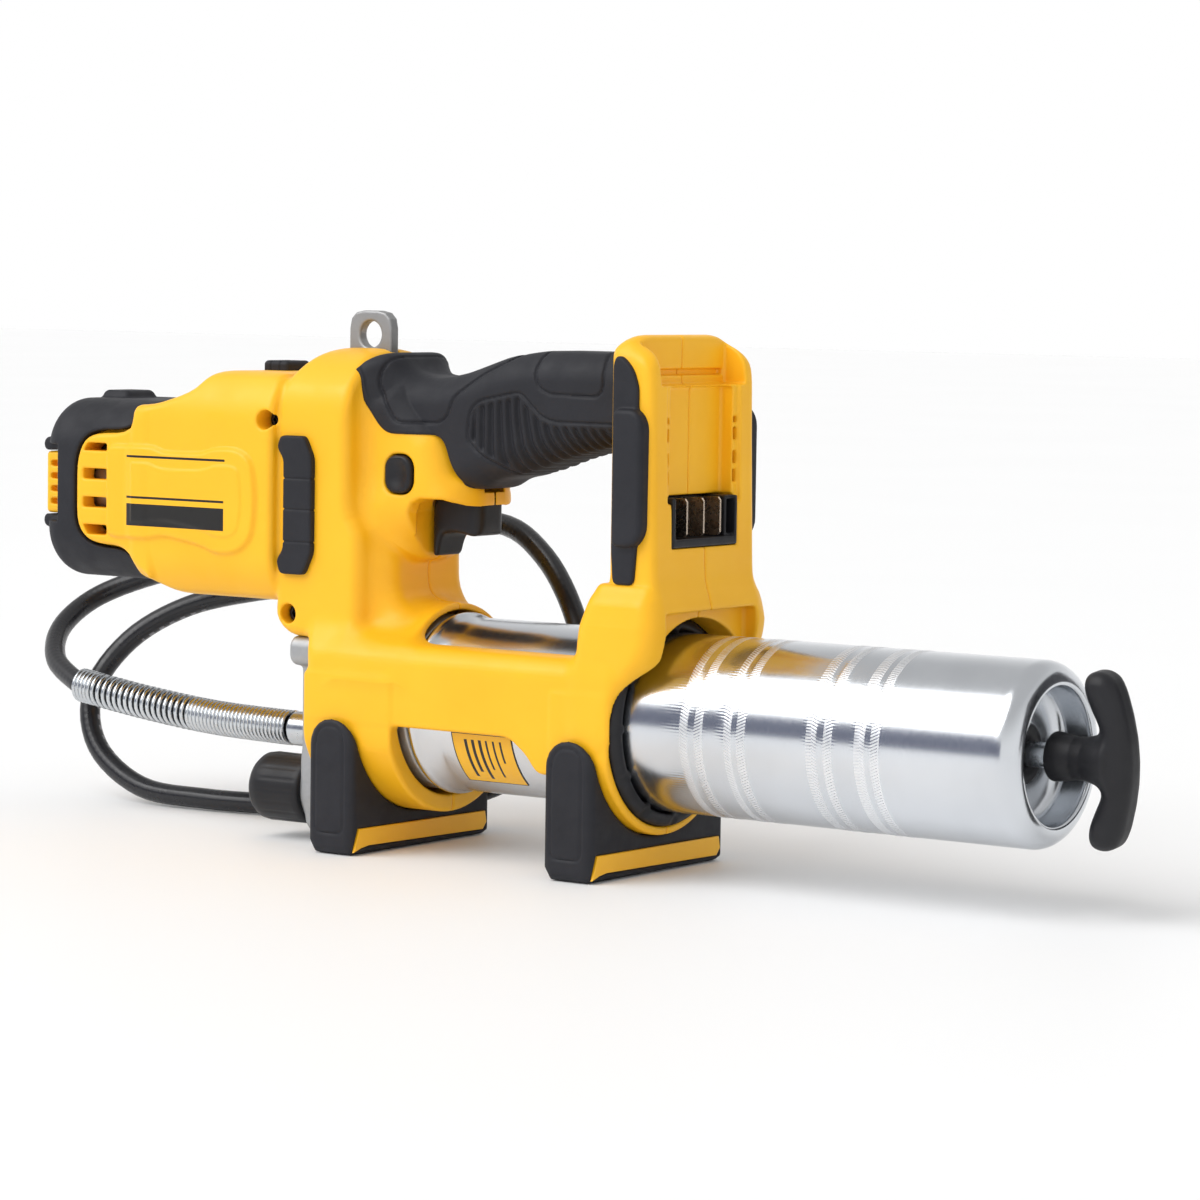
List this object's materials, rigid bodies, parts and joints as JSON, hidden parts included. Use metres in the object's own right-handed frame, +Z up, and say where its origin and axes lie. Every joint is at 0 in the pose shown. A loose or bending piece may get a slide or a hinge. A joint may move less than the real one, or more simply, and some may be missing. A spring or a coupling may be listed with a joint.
{
  "type": "cordless grease gun",
  "caption": "Battery grease gun with D-handle, squeeze trigger, screw-on cartridge barrel with T-handle rod, two feet and a spring-guarded hose.",
  "frame": {"origin": "on the ground, under the middle of the tool without its hose", "axes": "+X to the rear, out of the T-handle; +Y to the tool's far side, where the hose is parked; +Z up"},
  "size_m": [0.4658, 0.1061, 0.18],
  "materials": {
    "yellow_shell": "fine moulded texture",
    "black_rubber": "soft matt overmould",
    "black_plastic": "moulded, slight sheen",
    "bright_steel": "zinc plated",
    "barrel_metal": "satin plated tube",
    "cast_metal": "die cast, painted grey",
    "gear_steel": "oiled",
    "motor_steel": "plated sheet",
    "copper": "copper winding",
    "blade_metal": "tinned contact",
    "stripe_yellow": "smooth strip",
    "label_film": null,
    "seal_rubber": "oil resistant rubber",
    "board_green": "lacquered board",
    "wire_red": "wire sleeve",
    "hose_black": "ribbed high pressure hose"
  },
  "bodies": {
    "tool_body": {"housing_left": "yellow_shell", "housing_right": "yellow_shell", "front_bumper": "black_rubber", "vent_panel": "yellow_shell", "top_pad": "black_rubber", "grip_overmold": "black_rubber", "side_pads": "black_rubber", "column_bumpers": "black_rubber", "front_foot": "black_rubber", "rear_foot": "black_rubber", "foot_stripes": "stripe_yellow", "hanging_lug": "bright_steel", "terminal_block": "black_plastic", "terminal_blades": "blade_metal", "barrel_collar": "black_plastic", "housing_screws": "bright_steel", "motor_can": "motor_steel", "motor_bearings": "gear_steel", "ring_gear": "gear_steel", "crank_bearing": "gear_steel", "pump_head": "cast_metal", "check_spring": "bright_steel", "barrel_seal": "seal_rubber", "trigger_switch": "black_plastic", "control_board": "board_green", "wires": "wire_red", "hose_fitting": "bright_steel", "spring_guard": "bright_steel", "hose": "hose_black", "hose_coupler": "bright_steel", "hose_clip": "black_plastic"},
    "rotor": {"rotor": "copper", "cooling_fan": "black_plastic", "sun_gear": "gear_steel"},
    "crank": {"crank": "gear_steel"},
    "planet_1": {"planet_gear_1": "gear_steel"},
    "planet_2": {"planet_gear_2": "gear_steel"},
    "planet_3": {"planet_gear_3": "gear_steel"},
    "piston": {"pump_piston": "gear_steel"},
    "knob": {"vent_knob": "black_plastic"},
    "check_ball": {"check_ball": "bright_steel"},
    "barrel": {"barrel": "barrel_metal", "barrel_label": "label_film", "rod_bush": "black_plastic", "follower_spring": "bright_steel"},
    "follower": {"follower": "seal_rubber"},
    "rod": {"follower_rod": "bright_steel", "t_handle": "black_plastic"},
    "trigger": {"trigger": "black_plastic"},
    "lock_button": {"lock_button": "black_plastic"}
  },
  "joints": [
    {"name": "rotor_spin", "type": "hinge", "parent": "tool_body", "child": "rotor", "pos_m": [-0.15, 0, 0.117], "axis": [1, 0, 0], "continuous": true},
    {"name": "crank_spin", "type": "hinge", "parent": "tool_body", "child": "crank", "pos_m": [-0.09, 0, 0.117], "axis": [1, 0, 0], "continuous": true},
    {"name": "planet_spin_1", "type": "hinge", "parent": "crank", "child": "planet_1", "pos_m": [-0.102, 0.0108, 0.117], "axis": [1, 0, 0], "continuous": true},
    {"name": "planet_spin_2", "type": "hinge", "parent": "crank", "child": "planet_2", "pos_m": [-0.102, -0.0054, 0.12635], "axis": [1, 0, 0], "continuous": true},
    {"name": "planet_spin_3", "type": "hinge", "parent": "crank", "child": "planet_3", "pos_m": [-0.102, -0.0054, 0.10765], "axis": [1, 0, 0], "continuous": true},
    {"name": "piston_stroke", "type": "slide", "parent": "tool_body", "child": "piston", "axis": [0, 0, 1], "range_m": [-0.004, 0.004]},
    {"name": "knob_turn", "type": "hinge", "parent": "tool_body", "child": "knob", "pos_m": [-0.1, -0.0135, 0.017], "axis": [1, 0, 0], "range_deg": [0, 180]},
    {"name": "check_lift", "type": "slide", "parent": "tool_body", "child": "check_ball", "axis": [-1, 0, 0], "range_m": [0, 0.0015], "stiffness_N_per_m": 20},
    {"name": "barrel_unscrew", "type": "hinge", "parent": "tool_body", "child": "barrel", "pos_m": [0.07, 0, 0.0495], "axis": [1, 0, 0], "range_deg": [0, 180]},
    {"name": "follower_slide", "type": "slide", "parent": "barrel", "child": "follower", "axis": [1, 0, 0], "range_m": [0, 0.165], "deforming": ["follower_spring"]},
    {"name": "handle_turn", "type": "hinge", "parent": "follower", "child": "rod", "pos_m": [0.1, 0, 0.0495], "axis": [1, 0, 0], "range_deg": [-90, 90]},
    {"name": "trigger_squeeze", "type": "slide", "parent": "tool_body", "child": "trigger", "axis": [0, 0, 1], "range_m": [0, 0.005], "stiffness_N_per_m": 1500},
    {"name": "lock_press", "type": "slide", "parent": "tool_body", "child": "lock_button", "axis": [0, 1, 0], "range_m": [-0.002, 0.002]}
  ],
  "couplings": [
    {"joint": "crank_spin", "follows": "rotor_spin", "ratio": 0.16667},
    {"joint": "planet_spin_1", "follows": "rotor_spin", "ratio": -0.41667},
    {"joint": "planet_spin_2", "follows": "rotor_spin", "ratio": -0.41667},
    {"joint": "planet_spin_3", "follows": "rotor_spin", "ratio": -0.41667}
  ]
}
